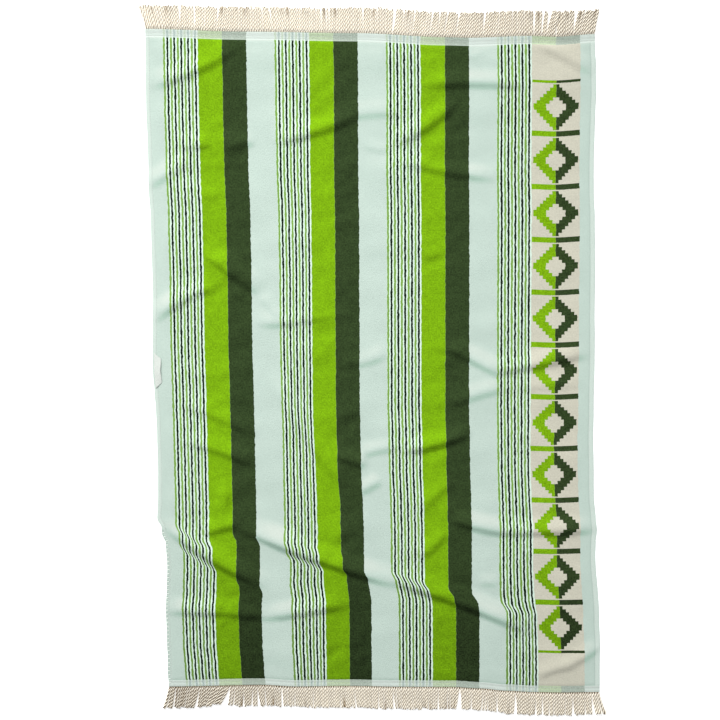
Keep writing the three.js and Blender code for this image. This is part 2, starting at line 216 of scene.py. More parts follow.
# Half the width over which the edges of stripes, of wider areas and of the figures' rings blend
EDGE_SOFT = 0.35
AREA_SOFT = 0.3
RING_SOFT = 0.01

# The fringe. A span says over which part of a cord something grows, as shares of its length.
CORDS = 184
CORD_MARGIN = 2.7
GAP = 0.3
PLIES = 3
PLY_OFFSET = 1.35  # from the middle of a cord to the middle of each of its plies
PLY_RADIUS = 1.45
TOP_TWIST = 26.4  # length of one full turn
BOTTOM_TWIST = 24.9
TWIST_PLAY = 0.035
TWIST_ALIKE = 6  # the twist changes slowly over this many neighbours
TWIST_LONE = 0.8  # how much of the play is a cord's own
FIRST_GROOVE = 2.4  # where the plies first lie side by side, from the hem
CORD_STEPS = 26
CORD_SIDES = 6
CORD_RING = np.arange(CORD_SIDES) * 2 * math.pi / CORD_SIDES
CORE_HALF = (2.5, 1.0)  # the loose fibre inside a cord: half its width and half its height
# the core shows only between the plies, so it takes part of the painted groove shade
CORE_GROOVE_SHADE = 0.6
CORE_EVERY = 3  # the core needs fewer steps than the plies
ROOT_FLAT = 0.52  # the cords are pressed flatter where they are sewn
ROOT_LONG = 6.0
LEAN_BEND = 1.4  # a cord leans more and more towards its tip
CORD_BEND = 0.5
CORDS_ALIKE = 2  # bends and tips change over this many neighbours
LENGTH_PLAY = 1.3
TIP_WANDER = 0.4
TIP_LIFT = 1.2
TIP_LIFT_SPAN = (0.5, 1.0)
ROOM_LIMITS = (0.9, 1.5)  # a cord fills the room that it has, within these limits
FRAY_SPAN = (0.9, 1.0)
FRAY_OPEN = 0.45  # the plies stand apart and are thinner where they fray
FRAY_THIN = 0.3
MARK_LEAST = 0.3  # the painted groove shade is darkest where the grooves cross the middle of a cord
MARK_MORE = 1.9
MARK_HALF = 2.0
SUNK_SHARE = 0.11  # this many cords sink between their neighbours towards their tips
SUNK_SPAN = (0.25, 0.9)
SUNK_DEEP = 1.0
# painted shade: sunk cords are darker and browner towards their tips
SUNK_PAINTED_SHADE = 5.0
LOWEST = 0.05  # no point of a cord lies lower
# Painted light and shade on the cords, as (place across, amount): how much darker and browner,
# or lighter, they are made, and how dark the painted shade in their grooves is; then the painted
# shade of the heading, and how the twist starts: how far each cord is ahead of the one before
# it, and how loosely, both counted in plies
Tone = namedtuple("Tone", "brown grooves heading ahead loose")
TOP_TONE = Tone(
    [(-500, -0.6), (0, -0.6), (150, -1.6), (500, -0.8)],
    [(-500, 0.9), (-100, 0.85), (60, 1.0), (200, 1.2), (300, 1.3), (500, 1.45)],
    0.3, 0.75, 0.24,
)
BOTTOM_TONE = Tone(
    [(-500, 2.4), (-330, 1.2), (-140, 0.2), (80, -0.4), (250, -1.2), (500, -1.8)],
    [(-500, 2.1), (-330, 1.7), (-140, 1.1), (80, 1.25), (500, 1.32)],
    1.36, 0.3, 0.24,
)
OVERLAP_RISE = 0.45  # cords that cross over others rise by this share of the overlap
OVERLAP_SPAN = (0.2, 0.7)
OVERLAP_REACH = 14.0  # over about this width beside the crossing
PARTED_REACH = 8.0
PARTED_SOONER = 1.3  # cords that part halfway meet again before their tips
# Where the cords part: the place at the hem and at the tips, how far they stand apart at the
# tips, and how far halfway along
Slit = namedtuple("Slit", "root tip open parted", defaults=[0])
TOP_SLITS = [Slit(*row) for row in [
    (-514, -528, 0), (-436.5, -435.5, 4.4), (-406, -406, 3.6, 2), (-354, -348, 3.3),
    (-278, -278, 1.1), (-252, -253, 1.8), (-230, -236.5, 3.3), (-178, -178, 1.1),
    (-122, -122.5, 3.3), (-113.6, -113.6, 2.7), (-106, -105.5, 2.7), (-27.6, -27.6, 2.7),
    (14.6, 14.6, 1.8), (35.7, 42.4, 6.7, 3), (56.8, 61.3, 3.6), (76.8, 83.5, 3.3),
    (119, 128, 3.3), (134.6, 143.5, 2.7), (150, 159, 3.3), (179, 185.7, 4), (236.8, 242.4, 4),
    (349.5, 349.5, 4.4, 1), (367.9, 371.7, 4.4, 2), (376, 385.5, 9), (400, 402.5, -11, 6),
    (439, 445.7, 6.7), (485.5, 495, 0),
]]
BOTTOM_SLITS = [Slit(*row) for row in [
    (-476, -490.5, 0), (-470.6, -481.5, 2.6, 0.5), (-460, -465.3, 3.4, 1.5),
    (-407.8, -416.3, 7), (-333.5, -347.3, 18), (-322, -325.4, 3.4), (-301.2, -303, 3.4),
    (-280.5, -282.8, 4.6), (-269, -265.6, 5.7), (-257.5, -253, 4.1), (-243.7, -241.4, 2.3),
    (-218.4, -217.2, 3.4, 1), (-185.4, -185.4, 2.3), (-144.7, -144.7, 1.8), (-77.9, -77.9, 1.8),
    (-48, -43.4, 4.1, 1), (6.5, 6.5, 1.4), (39.5, 42.9, 5.7), (47.5, 51, 2.3),
    (142.1, 142.1, 3.4), (163.8, 163.8, 3.4), (171.4, 171.4, 3.4), (191.4, 189.1, 12, 2),
    (219.9, 219.9, 2.8), (245.5, 243.2, 4.6), (252, 252, 3.4), (260.5, 259.3, 3.4),
    (280.3, 280.3, 3.4), (321.5, 321.5, 7, 1), (369.6, 369.6, 4.6), (383.8, 383.8, 3.4),
    (397.9, 397.9, 2.8), (453.8, 453.8, 4.6), (498.7, 503.3, 5.7), (515.5, 533, 0),
]]
# How long the cords are: (place across, length)
TOP_LENGTHS = [
    (-500, 51.5), (-280, 53), (-30, 55), (50, 56), (165, 53.5), (280, 55.5), (410, 54.5),
    (500, 52.5),
]
BOTTOM_LENGTHS = [
    (-480, 50), (-395, 50), (-345, 43), (-320, 49), (-175, 46.5), (-80, 51), (160, 51),
    (240, 49.5), (350, 53), (420, 53.5), (510, 50.5),
]
HEADING_DEEP = 3.6
HEADING_HIGH = 1.5
HEADING_INSET = 1.0

# The hanging loop
LOOP_MIDDLE = -6.5
LOOP_START = 4.0  # from the side of the cloth
LOOP_REACH = 14.5
LOOP_PINCH = 1.6  # its free side draws in at its middle
LOOP_PINCH_POWER = 4
LOOP_LONG = 80.0
LOOP_SHORT = 54.0
LOOP_THICK = 1.2
LOOP_EDGE = 0.55  # share of its thickness at its edges, a millimetre wide
LOOP_RISE = 3.0
LOOP_RISE_POWER = 1.5
LOOP_FLATTEST = 0.3
LOOP_COLUMNS = 12
LOOP_STEPS = 60

# Sewing
STITCH_LONG = 3.0
STITCH_WIDE = 0.75
STITCH_HIGH = 0.55
STITCH_FULL = 0.3  # a stitch is full up to this share of its length either way
STITCH_PROUD = 0.3
STITCH_PITCH = 3.9
STITCH_INSET = 3.0
SIDE_STITCH_INSET = 1.0
TOP_STITCH_LINES = (8.4, 14.2)  # from the end
BOTTOM_STITCH_LINES = (3.4, 11.0)
SIDE_STITCH_LINE = 8.6  # from each side
GROOVE_DEEP = 0.35
GROOVE_HALF = 1.6
WHIP_PITCH = 9.4
WHIP_START = 1130.0  # down the left side
WHIP_STOP = 4.0  # from the bottom end
WHIP_FROM = 5.8  # from the edge in
WHIP_TO = 1.0
WHIP_PROUD = 0.2
WHIP_SIZE = (5.4, 2.6, 1.6)


def linear(red, green, blue):
    """A colour given as 0 to 255 screen values, as Blender's linear colour"""
    shares = [value / 255 for value in (red, green, blue)]
    return tuple(s / 12.92 if s < 0.04045 else ((s + 0.055) / 1.055) ** 2.4 for s in shares)


MINT = linear(171, 187, 178)
# Painted light and shade: mint is greyer on slopes that face the light, greener on those turned
# away
MINT_LIT = linear(177, 186, 178)
MINT_SHADE = linear(166, 192, 177)  # light from cloth to cloth greens the shaded slopes
WHITE = linear(192, 211, 198)
LIME_GREEN = linear(108, 152, 13)
DARK_GREEN = linear(43, 58, 31)
THIN_GREEN_COLOUR = linear(108, 144, 64)
THIN_DARK_COLOUR = linear(14, 25, 12)
CREAM = linear(181, 179, 164)
HEM_MINT = linear(192, 203, 196)
HEM_LIME = linear(172, 188, 158)
HEM_DARK = linear(156, 168, 156)
HEM_THIN_DARK = linear(146, 164, 158)
HEM_THIN_GREEN = linear(172, 187, 165)
CORD_COLOUR = linear(240, 232, 215)
# painted shade in the cords' grooves
CORD_GROOVE_SHADE = linear(82, 58, 28)
# painted shade of sunk cords and of cords made darker by place across
CORD_SHADE = linear(168, 144, 108)
# painted shadow that the bottom hem casts on the heading
HEADING_SHADOW_COLOUR = linear(84, 70, 52)
TAPE_COLOUR = linear(192, 198, 192)
THREAD_COLOUR = linear(204, 210, 204)
FLOOR_COLOUR = (0.95, 0.95, 0.95)
THIN_BOTTOM_SHADE = -0.24  # painted shade: the dyed lines and stripes darken towards the bottom end
LIME_BOTTOM_SHADE = -0.2
DARK_BOTTOM_SHADE = -0.32
BOTTOM_SHADE_START = 1080.0
BOTTOM_SHADE_END = 1420.0

# The terry's unevenness: how many features of each kind there are to a millimetre
Noises = namedtuple("Noises", "loops grain patches mottle")
NOISE_SCALES = Noises(loops=0.9, grain=0.3, patches=0.075, mottle=0.02)
WANDER_SCALES = (0.13, 0.09, 0.0)
GRAIN_SHIFT = (1.6, 1.4)  # the weave shifts the edges of the stripes and figures this far
WANDER_SHIFT = 3.6
LEAST_SHOWN = 0.06  # lighter colours show less of the pile's unevenness and painted light and shade
RIB_PITCH = 1.1
# The end hems, and how much a thin line shows there and how much the grain breaks it up
HEM_SOFT = 0.4
HEM_GREEN_LINE = (0.8, 2.5)
HEM_DARK_LINE = (0.75, 1.6)
HEM_CORD_SHADOW = (13.5, 11.5)  # painted shadow of the top fringe's cords: the dyed stripes are darker above here
BAND_SOFT = 0.5
# Lines woven along the end hems: how far from the end, half as wide, how much lighter
TOP_BANDS = [(8.4, 1.6, -0.07), (11.9, 1.2, 0.08), (14.2, 0.9, -0.04), (16.4, 1.2, 0.16)]
BOTTOM_BANDS = [(2.8, 1.4, -0.08), (6.4, 1.6, 0.08), (10.8, 1.8, -0.1), (14.3, 1.0, 0.12)]
# The side hems, their seams, and the painted shade in the gaps between the whipping's threads
LEFT_HEM = 7.5
SIDE_HEM_PALE = 0.55
WHIPPED_PALE = 0.1
SIDE_HEM_SOFT = 0.6
SEAM = (0.2, 2.2)
SEAM_SOFT = 0.5
WHIP_BLEND = 30.0
GAP_SHADE_SPAN = (-2.0, 2.6)
GAP_SHADE_REACH = (5.6, 4.2)
GAP_SHADE_SOFT = 0.8
# The cords: the values of their tint and painted shade, and of their painted shade depth, over
# which their colours change
SHADED_TINTS = (-2.0, -9.0)
GROOVE_TONES = (0.46, 0.78)
HEADING_SHADOW_TONES = (1.2, 1.5)
# The slanting ribs of the tape
TWILL_PITCH = 1.3
TWILL_SLANT = 1.2

FLOOR_DROP = 0.0004  # in metres, so that the floor lies just under the cloth


def smooth(t):
    """0 below 0 and 1 above 1, eased between them"""
    s = np.clip(t, 0.0, 1.0)
    return s * s * (3 - 2 * s)


def eased(value, start, end):
    """0 before the start and 1 beyond the end, eased between them"""
    return smooth((value - start) / (end - start))


def read(table, place):
    """The value of a table of (place, value) rows, eased between its rows"""
    at, value = np.array(table, float).T
    place = np.clip(place, at[0], at[-1])
    i = np.clip(np.searchsorted(at, place) - 1, 0, len(at) - 2)
    share = (place - at[i]) / (at[i + 1] - at[i])
    return value[i] + (value[i + 1] - value[i]) * smooth(share)


def beside(start, end, x, y):
    """Where a point lies beside a line: share along it, and distance above it"""
    dx = end[0] - start[0]
    dy = end[1] - start[1]
    length = math.hypot(dx, dy)
    share = ((x - start[0]) * dx + (y - start[1]) * dy) / length ** 2
    above = ((y - start[1]) * dx - (x - start[0]) * dy) / length
    return share, above


def pull(side, x, y):
    """How far one side of the cloth is let out to the right"""
    return read(side.rows, y) * eased(x, side.none, side.full)


def slips(x, y):
    """How far the slips have moved the cloth to the right"""
    total = np.zeros_like(x)
    for slip in SLIPS:
        middle = np.interp(x, *np.array(slip.line, float).T)
        total += read(slip.shifts, x) * smooth(0.5 - (y - middle) / slip.spread)
    return total


def lay(across, down):
    """From a place in the cloth to the plan"""
    across, down = np.broadcast_arrays(np.asarray(across, float), np.asarray(down, float))
    top = read(TOP_EDGE, across)
    bottom = read(BOTTOM_EDGE, across)
    y = top + (bottom - top) * down / CLOTH_LENGTH
    start = across + read(DRIFT, y)
    x = start + slips(start, y)
    for side in (LEFT_PULL, RIGHT_PULL):
        x = x + pull(side, start, y)
    for side in (LEFT_EDGE, RIGHT_EDGE):
        x = x + pull(side, across, y)
    return x, y


def lift(x, y, folds):
    """How high these wrinkles lift the cloth at places in the plan"""
    total = np.zeros_like(x)
    for fold in folds:
        share, above = beside(fold.start, fold.end, x, y)
        side = above - fold.bow * 4 * share * (1 - share)
        rising = smooth(side / fold.steep)
        falling = 1 - smooth((side - fold.steep) / fold.long)
        shape = np.where(side < fold.steep, rising, falling)
        taper = smooth(share / WRINKLE_TAPER) * smooth((1 - share) / WRINKLE_TAPER)
        total += (fold.high * shape * taper) ** 2
    return np.sqrt(total)


def crossed_waves(seed, count, lengths, turns, x, y):
    """Gives waves of many lengths and directions one by one, each with its length"""
    rng = np.random.default_rng(seed)
    for _ in range(count):
        long = rng.uniform(*lengths)
        turn = rng.uniform(*turns)
        phase = rng.uniform(0, 2 * math.pi)
        along = x * math.cos(turn) + y * math.sin(turn)
        yield np.sin(along * 2 * math.pi / long + phase), long


def swells(x, y):
    """A slight unevenness all over, from 0 up"""
    waves = crossed_waves(SEED, SWELLS, SWELL_LONG, SWELL_TURN, x, y)
    total = sum(wave * long / SWELL_LONG[1] for wave, long in waves)
    return np.clip(SWELL_HIGH * (total + SWELL_BASE), 0, None)


def puckers(across, down):
    """Slanting ridges within the lime and dark stripes"""
    waves = crossed_waves(SEED + 1, PUCKERS, PUCKER_LONG, PUCKER_TURN, across, down)
    total = sum(wave for wave, _ in waves)
    repeat = np.mod(across - STRIPES_START, REPEAT)
    inside = smooth(np.minimum(repeat - LIME[0], DARK[1] - repeat) / PUCKER_EDGE)
    striped = inside * (across > STRIPES_START) * (across < STRIPES_END)
    patch = np.sin(down * 2 * math.pi / PUCKER_PATCH + across / PUCKER_SLANT)
    there = PUCKER_STEADY + (1 - PUCKER_STEADY) * patch
    return PUCKER_HIGH * total * striped * there


def underside(across, down):
    """Height of the underside, which the wrinkles lift off the floor"""
    x, y = lay(across, down)
    from_end = np.minimum(down, CLOTH_LENGTH - down)
    return lift(x, y, WRINKLES) * smooth(from_end / END_CALM)


def thickness(across, down):
    """Height of the upper surface over the underside, with the hems and their stitch lines"""
    x, y = lay(across, down)
    from_side = HALF_WIDE - np.abs(across)
    from_bottom = CLOTH_LENGTH - down
    from_side_hem = from_side - SIDE_HEM
    from_end_hem = np.minimum(down - TOP_HEM, from_bottom - BOTTOM_HEM)
    side = SIDE_HEM_THICK + (PILE_THICK - SIDE_HEM_THICK) * smooth(from_side_hem / HEM_STEP)
    end = END_HEM_THICK + (PILE_THICK - END_HEM_THICK) * smooth(from_end_hem / HEM_STEP)
    high = np.minimum(side, end)
    inside = smooth(from_side_hem / END_CALM) * smooth(from_end_hem / END_CALM)
    high = high + inside * (swells(x, y) + lift(x, y, CREASES) + puckers(across, down))
    for away, lines in (
        (down, TOP_STITCH_LINES),
        (from_bottom, BOTTOM_STITCH_LINES),
        (from_side, [SIDE_STITCH_LINE]),
    ):
        for line in lines:
            high = high - GROOVE_DEEP * np.clip(1 - np.abs(away - line) / GROOVE_HALF, 0, 1)
    return high


def surface(across, down):
    """Places on the cloth's upper surface, in millimetres"""
    x, y = lay(across, down)
    return np.stack([x, y, underside(across, down) + thickness(across, down)], axis=-1)


def hem_lines(hem, stitch_lines):
    """Places of the mesh lines over a hem, close beside its edge, stitches and inner step"""
    lines = list(EDGE_LINES)
    for line in stitch_lines:
        lines += [line - GROOVE_HALF, line, line + GROOVE_HALF]
    lines += [hem, hem + HEM_STEP / 2, hem + HEM_STEP]
    return sorted(lines)


def mesh_lines(length, first, last, count):
    """Mesh lines from one hem's to the other's, with even steps between them"""
    middle = np.linspace(first[-1], length - last[-1], count + 1)[1:-1]
    return np.concatenate([first, middle, length - np.array(last[::-1])])


def mesh_object(name, points, faces, attributes=()):
    """A smooth shaded mesh object from points in millimetres, with its point attributes"""
    mesh = bpy.data.meshes.new(name)
    mesh.from_pydata((np.asarray(points) * MM).tolist(), [], np.asarray(faces).tolist())
    mesh.polygons.foreach_set("use_smooth", np.ones(len(mesh.polygons), bool))
    for label, values in attributes:
        values = np.asarray(values, np.float32)
        kind = "FLOAT_VECTOR" if values.ndim == 2 else "FLOAT"
        layer = mesh.attributes.new(label, kind, "POINT")
        layer.data.foreach_set("vector" if values.ndim == 2 else "value", values.ravel())
    mesh.update()
    thing = bpy.data.objects.new(name, mesh)
    bpy.context.scene.collection.objects.link(thing)
    return thing


def grid_faces(rows, columns, start=0):
    """Quads over a grid of points, facing up where rows run down the plan"""
    j, i = np.mgrid[0:rows - 1, 0:columns - 1]
    a = start + j * columns + i
    return np.stack([a, a + columns, a + columns + 1, a + 1], axis=-1).reshape(-1, 4)


def closed_sheet(high, low):
    """Points and faces of a closed sheet from two grids of the same places"""
    rows, columns = high.shape[:2]
    count = rows * columns
    top = grid_faces(rows, columns)
    bottom = grid_faces(rows, columns, count)[:, ::-1]
    index = np.arange(count).reshape(rows, columns)
    loop = np.concatenate([index[0, :-1], index[:-1, -1], index[-1, :0:-1], index[:0:-1, 0]])
    after = np.roll(loop, -1)
    rim = np.stack([loop, after, after + count, loop + count], axis=-1)
    points = np.concatenate([high.reshape(-1, 3), low.reshape(-1, 3)])
    return points, np.concatenate([top, bottom, rim])


def joined(parts):
    """One set of points and faces from several"""
    points = []
    faces = []
    start = 0
    for part_points, part_faces in parts:
        points.append(part_points)
        faces.append(part_faces + start)
        start += len(part_points)
    return np.concatenate(points), np.concatenate(faces)


def tube_faces(count, rings, sides):
    """Quads of many tubes with the same rings, closed at both ends"""
    t, k, s = np.mgrid[0:count, 0:rings - 1, 0:sides]
    base = t * rings * sides
    a = base + k * sides + s
    b = base + k * sides + (s + 1) % sides
    walls = np.stack([a, b, b + sides, a + sides], axis=-1).reshape(-1, 4)
    first = np.arange(count)[:, None] * rings * sides
    last = first + (rings - 1) * sides
    caps = []
    for s in range(1, sides - 1, 2):
        ahead = min(s + 2, sides - 1)
        caps.append(np.concatenate([first, first + ahead, first + s + 1, first + s], axis=1))
        caps.append(np.concatenate([last, last + s, last + s + 1, last + ahead], axis=1))
    return np.concatenate([walls, *caps])


def make_cloth():
    """The cloth as a closed sheet, with each point's place and how far its slope faces the light
    """
    side = hem_lines(SIDE_HEM, [SIDE_STITCH_LINE])
    top = hem_lines(TOP_HEM, TOP_STITCH_LINES)
    bottom = hem_lines(BOTTOM_HEM, BOTTOM_STITCH_LINES)
    columns = mesh_lines(CLOTH_WIDTH, side, side, COLUMNS) - HALF_WIDE
    rows = mesh_lines(CLOTH_LENGTH, top, bottom, ROWS)
    across, down = np.meshgrid(columns, rows)
    x, y = lay(across, down)
    under = underside(across, down)
    thick = thickness(across, down)
    from_edge = np.minimum(HALF_WIDE - np.abs(across), np.minimum(down, CLOTH_LENGTH - down))
    inward = np.clip(1 - from_edge / EDGE_ROUND, 0, 1)
    full = np.sqrt(1 - EDGE_THINNED * inward ** 2)
    high = np.stack([x, y, under + thick * (0.5 + full / 2)], axis=-1)
    low = np.stack([x, y, under + thick * (0.5 - full / 2)], axis=-1)
    points, faces = closed_sheet(high, low)
    place = np.stack([across, down, np.zeros_like(across)], axis=-1).reshape(-1, 3)

    # Painted light and shade: how far each slope faces the light, which comes from the top of the
    # plan and a little from the left
    down_slope = np.gradient(high[..., 2], axis=0) / np.gradient(y, axis=0)
    cross_slope = np.gradient(high[..., 2], axis=1) / np.gradient(x, axis=1)
    nap = np.clip(FACING_LIGHT_ACROSS * cross_slope - down_slope, -FACING_LIGHT_MOST, FACING_LIGHT_MOST).ravel()
    attributes = [("place", np.tile(place, (2, 1))), ("nap", np.concatenate([nap, 0 * nap]))]
    return mesh_object("terry_cloth", points, faces, attributes)


def combed(slits, place):
    """Where cords lie at their tips, how far they are pushed aside halfway, how much room they
    have at their tips beside that at their roots, and how far they rise over others"""
    roots, tips, opens, _ = np.array(slits, float).T
    i = np.clip(np.searchsorted(roots, place), 1, len(slits) - 1)
    start = tips[i - 1] + opens[i - 1] / 2
    end = tips[i] - opens[i] / 2
    room = (end - start) / (roots[i] - roots[i - 1])
    tip = start + room * (place - roots[i - 1])
    aside = np.zeros_like(place)
    rise = np.zeros_like(place)
    for slit in slits:
        away = place - slit.root
        aside += np.sign(away) * slit.parted / 2 * np.exp(-np.abs(away) / PARTED_REACH)
        overlap = max(-slit.open, 0) * OVERLAP_RISE
        rise += np.where(away < 0, overlap * np.exp(away / OVERLAP_REACH), 0)
    return tip, aside, room, rise


def alike(rng, count, reach):
    """Random values with a spread of about 1 that change slowly over this many neighbours"""
    weights = np.hanning(2 * reach + 3)[1:-1]
    loose = rng.normal(0, 1, count + 2 * reach)
    return np.convolve(loose, weights / np.sqrt((weights ** 2).sum()), mode="valid")


def unit(vectors):
    """The vectors at a length of 1"""
    return vectors / np.linalg.norm(vectors, axis=-1, keepdims=True)


def ring_round(first, second):
    """Points round an ellipse for each pair of half axes"""
    first = np.cos(CORD_RING)[:, None] * first[..., None, :]
    return first + np.sin(CORD_RING)[:, None] * second[..., None, :]


Cords = namedtuple("Cords", "across share reach middle sideways upward sunk flat fuller")


def lay_cords(rng, down, outward, slits, lengths):
    """Where the middles of a fringe's cords run, and how sunk, flat and full each cord is"""
    edge = HALF_WIDE - CORD_MARGIN
    across = np.linspace(-edge, edge, CORDS)
    root_x, root_y = lay(across, down)
    tip, aside, room, rise = combed(slits, root_x)
    tip = tip + TIP_WANDER * (alike(rng, CORDS, CORDS_ALIKE) + rng.normal(0, 1, CORDS))
    long = read(lengths, root_x) + rng.normal(0, LENGTH_PLAY, CORDS)
    share = np.linspace(0, 1, CORD_STEPS + 1)[None, :]
    reach = long[:, None] * share
    bend = CORD_BEND * alike(rng, CORDS, CORDS_ALIKE)[:, None] * np.sin(math.pi * share)
    parted = aside[:, None] * np.sin(math.pi * np.minimum(share * PARTED_SOONER, 1))
    x = root_x[:, None] + (tip - root_x)[:, None] * share ** LEAN_BEND + parted + bend
    y = (root_y + outward * GAP)[:, None] + outward * reach
    sunk = (rng.random(CORDS) < SUNK_SHARE)[:, None] * eased(share, *SUNK_SPAN)
    flat = ROOT_FLAT + (1 - ROOT_FLAT) * smooth(reach / ROOT_LONG)
    fuller = 1 + (np.clip(room, *ROOM_LIMITS)[:, None] - 1) * share
    z = (PLY_OFFSET + PLY_RADIUS) * flat - SUNK_DEEP * sunk
    z = z + np.abs(rng.normal(0, TIP_LIFT, (CORDS, 1))) * eased(share, *TIP_LIFT_SPAN) ** 2
    z = z + rise[:, None] * eased(share, *OVERLAP_SPAN)
    middle = np.stack([x, y, z], axis=-1)
    along = unit(np.gradient(middle, axis=1))
    sideways = unit(np.cross(along, UP))
    upward = np.cross(sideways, along)
    return Cords(across, share, reach, middle, sideways, upward, sunk, flat, fuller)


def twist_plies(rng, cords, twist, tone):
    """Points of the plies that run round the cords' middles"""
    play = TWIST_PLAY * (alike(rng, CORDS, TWIST_ALIKE) + TWIST_LONE * rng.normal(0, 1, CORDS))
    ahead = tone.ahead * np.arange(CORDS) + rng.normal(0, tone.loose, CORDS)
    turns = (FIRST_GROOVE - cords.reach) / (twist * (1 + play[:, None])) + ahead[:, None] / PLIES
    fray = eased(cords.share, *FRAY_SPAN)
    offset = PLY_OFFSET * cords.flat * cords.fuller * (1 + FRAY_OPEN * fray)
    size = PLY_RADIUS * cords.flat * cords.fuller * (1 - FRAY_THIN * fray)
    plies = []
    for ply in range(PLIES):
        angle = (turns + ply / PLIES) * 2 * math.pi
        outwards = np.cos(angle)[..., None] * cords.sideways
        outwards = outwards + np.sin(angle)[..., None] * cords.upward
        centre = cords.middle + outwards * offset[..., None]
        forward = unit(np.gradient(centre, axis=1))
        binormal = unit(np.cross(forward, outwards))
        normal = np.cross(binormal, forward)
        plies.append(centre[:, :, None, :] + ring_round(normal, binormal) * size[..., None, None])
    return np.stack(plies, axis=1)


def painted_groove_shade(cords, plies, grooves):
    """Painted shade in the grooves: how deep in shade each point of the plies is painted"""
    off_middle = plies - cords.middle[:, None, :, None]
    off_middle = (off_middle * cords.sideways[:, None, :, None]).sum(axis=-1)
    crossing = MARK_LEAST + MARK_MORE * np.exp(-((off_middle / MARK_HALF) ** 2))
    inward = (1 - np.cos(CORD_RING)) / 2
    return read(grooves, cords.across)[:, None, None, None] * crossing * inward


def core_points(cords):
    """Points of the loose fibre that fills the middles of the cords"""
    ring = ring_round(CORE_HALF[0] * cords.sideways, CORE_HALF[1] * cords.upward)
    points = cords.middle[:, :, None, :] + (cords.fuller * cords.flat)[..., None, None] * ring
    return points[:, 1:-1:CORE_EVERY]


def heading_strip(down, outward):
    """A narrow strip under the roots of the cords"""
    edge = HALF_WIDE - HEADING_INSET
    x, y = lay(np.linspace(-edge, edge, CORDS * 2), down)
    near = np.stack([x, y + outward * GAP, np.full_like(x, HEADING_HIGH)], axis=-1)
    far = near + [0, outward * HEADING_DEEP, 0]
    high = np.stack([near, far] if outward < 0 else [far, near])
    return closed_sheet(high, high * [1, 1, 0])


def make_fringe(name, down, outward, slits, lengths, twist, tone, seed):
    """Twisted cords side by side, with the heading that they are sewn to"""
    rng = np.random.default_rng(seed)
    cords = lay_cords(rng, down, outward, slits, lengths)
    plies = twist_plies(rng, cords, twist, tone)
    deep = painted_groove_shade(cords, plies, tone.grooves)
    painted_darker = read(tone.brown, cords.across)[:, None]
    # the cords' own random tone, plus painted shade by place across and on sunk cords
    tint = rng.normal(-painted_darker, 1, (CORDS, 1)) - SUNK_PAINTED_SHADE * cords.sunk
    tint = np.broadcast_to(tint[:, None, :, None], deep.shape)
    core = core_points(cords)
    points, faces = joined([
        (plies.reshape(-1, 3), tube_faces(CORDS * PLIES, CORD_STEPS + 1, CORD_SIDES)),
        (core.reshape(-1, 3), tube_faces(CORDS, core.shape[1], CORD_SIDES)),
    ])
    points[:, 2] = np.maximum(points[:, 2], LOWEST)
    inside = len(points) - deep.size
    heading = heading_strip(down, outward)
    under = len(heading[0])
    points, faces = joined([(points, faces), heading])
    # the core takes part of the painted groove shade, and the heading its painted shadow
    deep = np.concatenate([deep.ravel(), np.full(inside, CORE_GROOVE_SHADE), np.full(under, tone.heading)])
    tint = np.concatenate([tint.ravel(), np.zeros(inside + under)])
    return mesh_object(name, points, faces, [("deep", deep), ("tint", tint)])


def make_loop():
    """A flat tape whose free side stands a little off the cloth"""
    middle = read(TOP_EDGE, -HALF_WIDE) - LOOP_MIDDLE
    reach = np.linspace(0, 1, LOOP_COLUMNS + 1)[None, :]
    share = np.linspace(0.5, -0.5, LOOP_STEPS + 1)[:, None]
    length = LOOP_LONG + (LOOP_SHORT - LOOP_LONG) * reach
    bulge = np.cos(math.pi * share)
    widest = LOOP_REACH - LOOP_PINCH * bulge ** LOOP_PINCH_POWER
    across = -HALF_WIDE + LOOP_START + widest * reach
    down = middle - length * share
    x, y = lay(across, down)
    free = LOOP_FLATTEST + (1 - LOOP_FLATTEST) * reach ** LOOP_RISE_POWER
    low = lift(x, y, WRINKLES) + PILE_THICK + GAP + bulge * LOOP_RISE * free
    edge = np.minimum(reach, 1 - reach) * LOOP_REACH
    thick = LOOP_THICK * (LOOP_EDGE + (1 - LOOP_EDGE) * smooth(edge))
    high = np.stack([x, y, low + thick], axis=-1)
    under = np.stack([x, y, low], axis=-1)
    points, faces = closed_sheet(high, under)
    flat = np.stack([reach * LOOP_REACH + 0 * share, length * share, np.zeros_like(low)], axis=-1)
    place = np.tile(flat.reshape(-1, 3), (2, 1))
    return mesh_object("loop_tape", points, faces, [("place", place)])


def stitch_mesh(centres, forward, upward, long, wide, high):
    """Points and faces of grain shaped stitches: a tip, two rings of four corners and a tip"""
    sideways = np.cross(forward, upward)
    rings = [centres - forward * long / 2]
    for place in (-STITCH_FULL, STITCH_FULL):
        for across, up in ((1, 0), (0, 1), (-1, 0), (0, -1)):
            corner = sideways * wide / 2 * across + upward * high / 2 * up
            rings.append(centres + forward * long * place + corner)
    rings.append(centres + forward * long / 2)
    faces = []
    for s in range(4):
        t = (s + 1) % 4
        faces.append((0, 1 + t, 1 + s))
        faces.append((1 + s, 1 + t, 5 + t))
        faces.append((1 + s, 5 + t, 5 + s))
        faces.append((5 + s, 5 + t, 9))
    first = np.arange(len(centres))[:, None, None] * len(rings)
    return np.stack(rings, axis=1).reshape(-1, 3), (np.array(faces) + first).reshape(-1, 3)


def stitched_row(across, down):
    """Stitches along a row of places on the cloth"""
    places = surface(across, down)
    forward = unit(np.gradient(places, axis=0))
    upward = unit(np.cross(np.cross(forward, UP), forward))
    centres = places + upward * STITCH_HIGH * STITCH_PROUD
    return stitch_mesh(centres, forward, upward, STITCH_LONG, STITCH_WIDE, STITCH_HIGH)


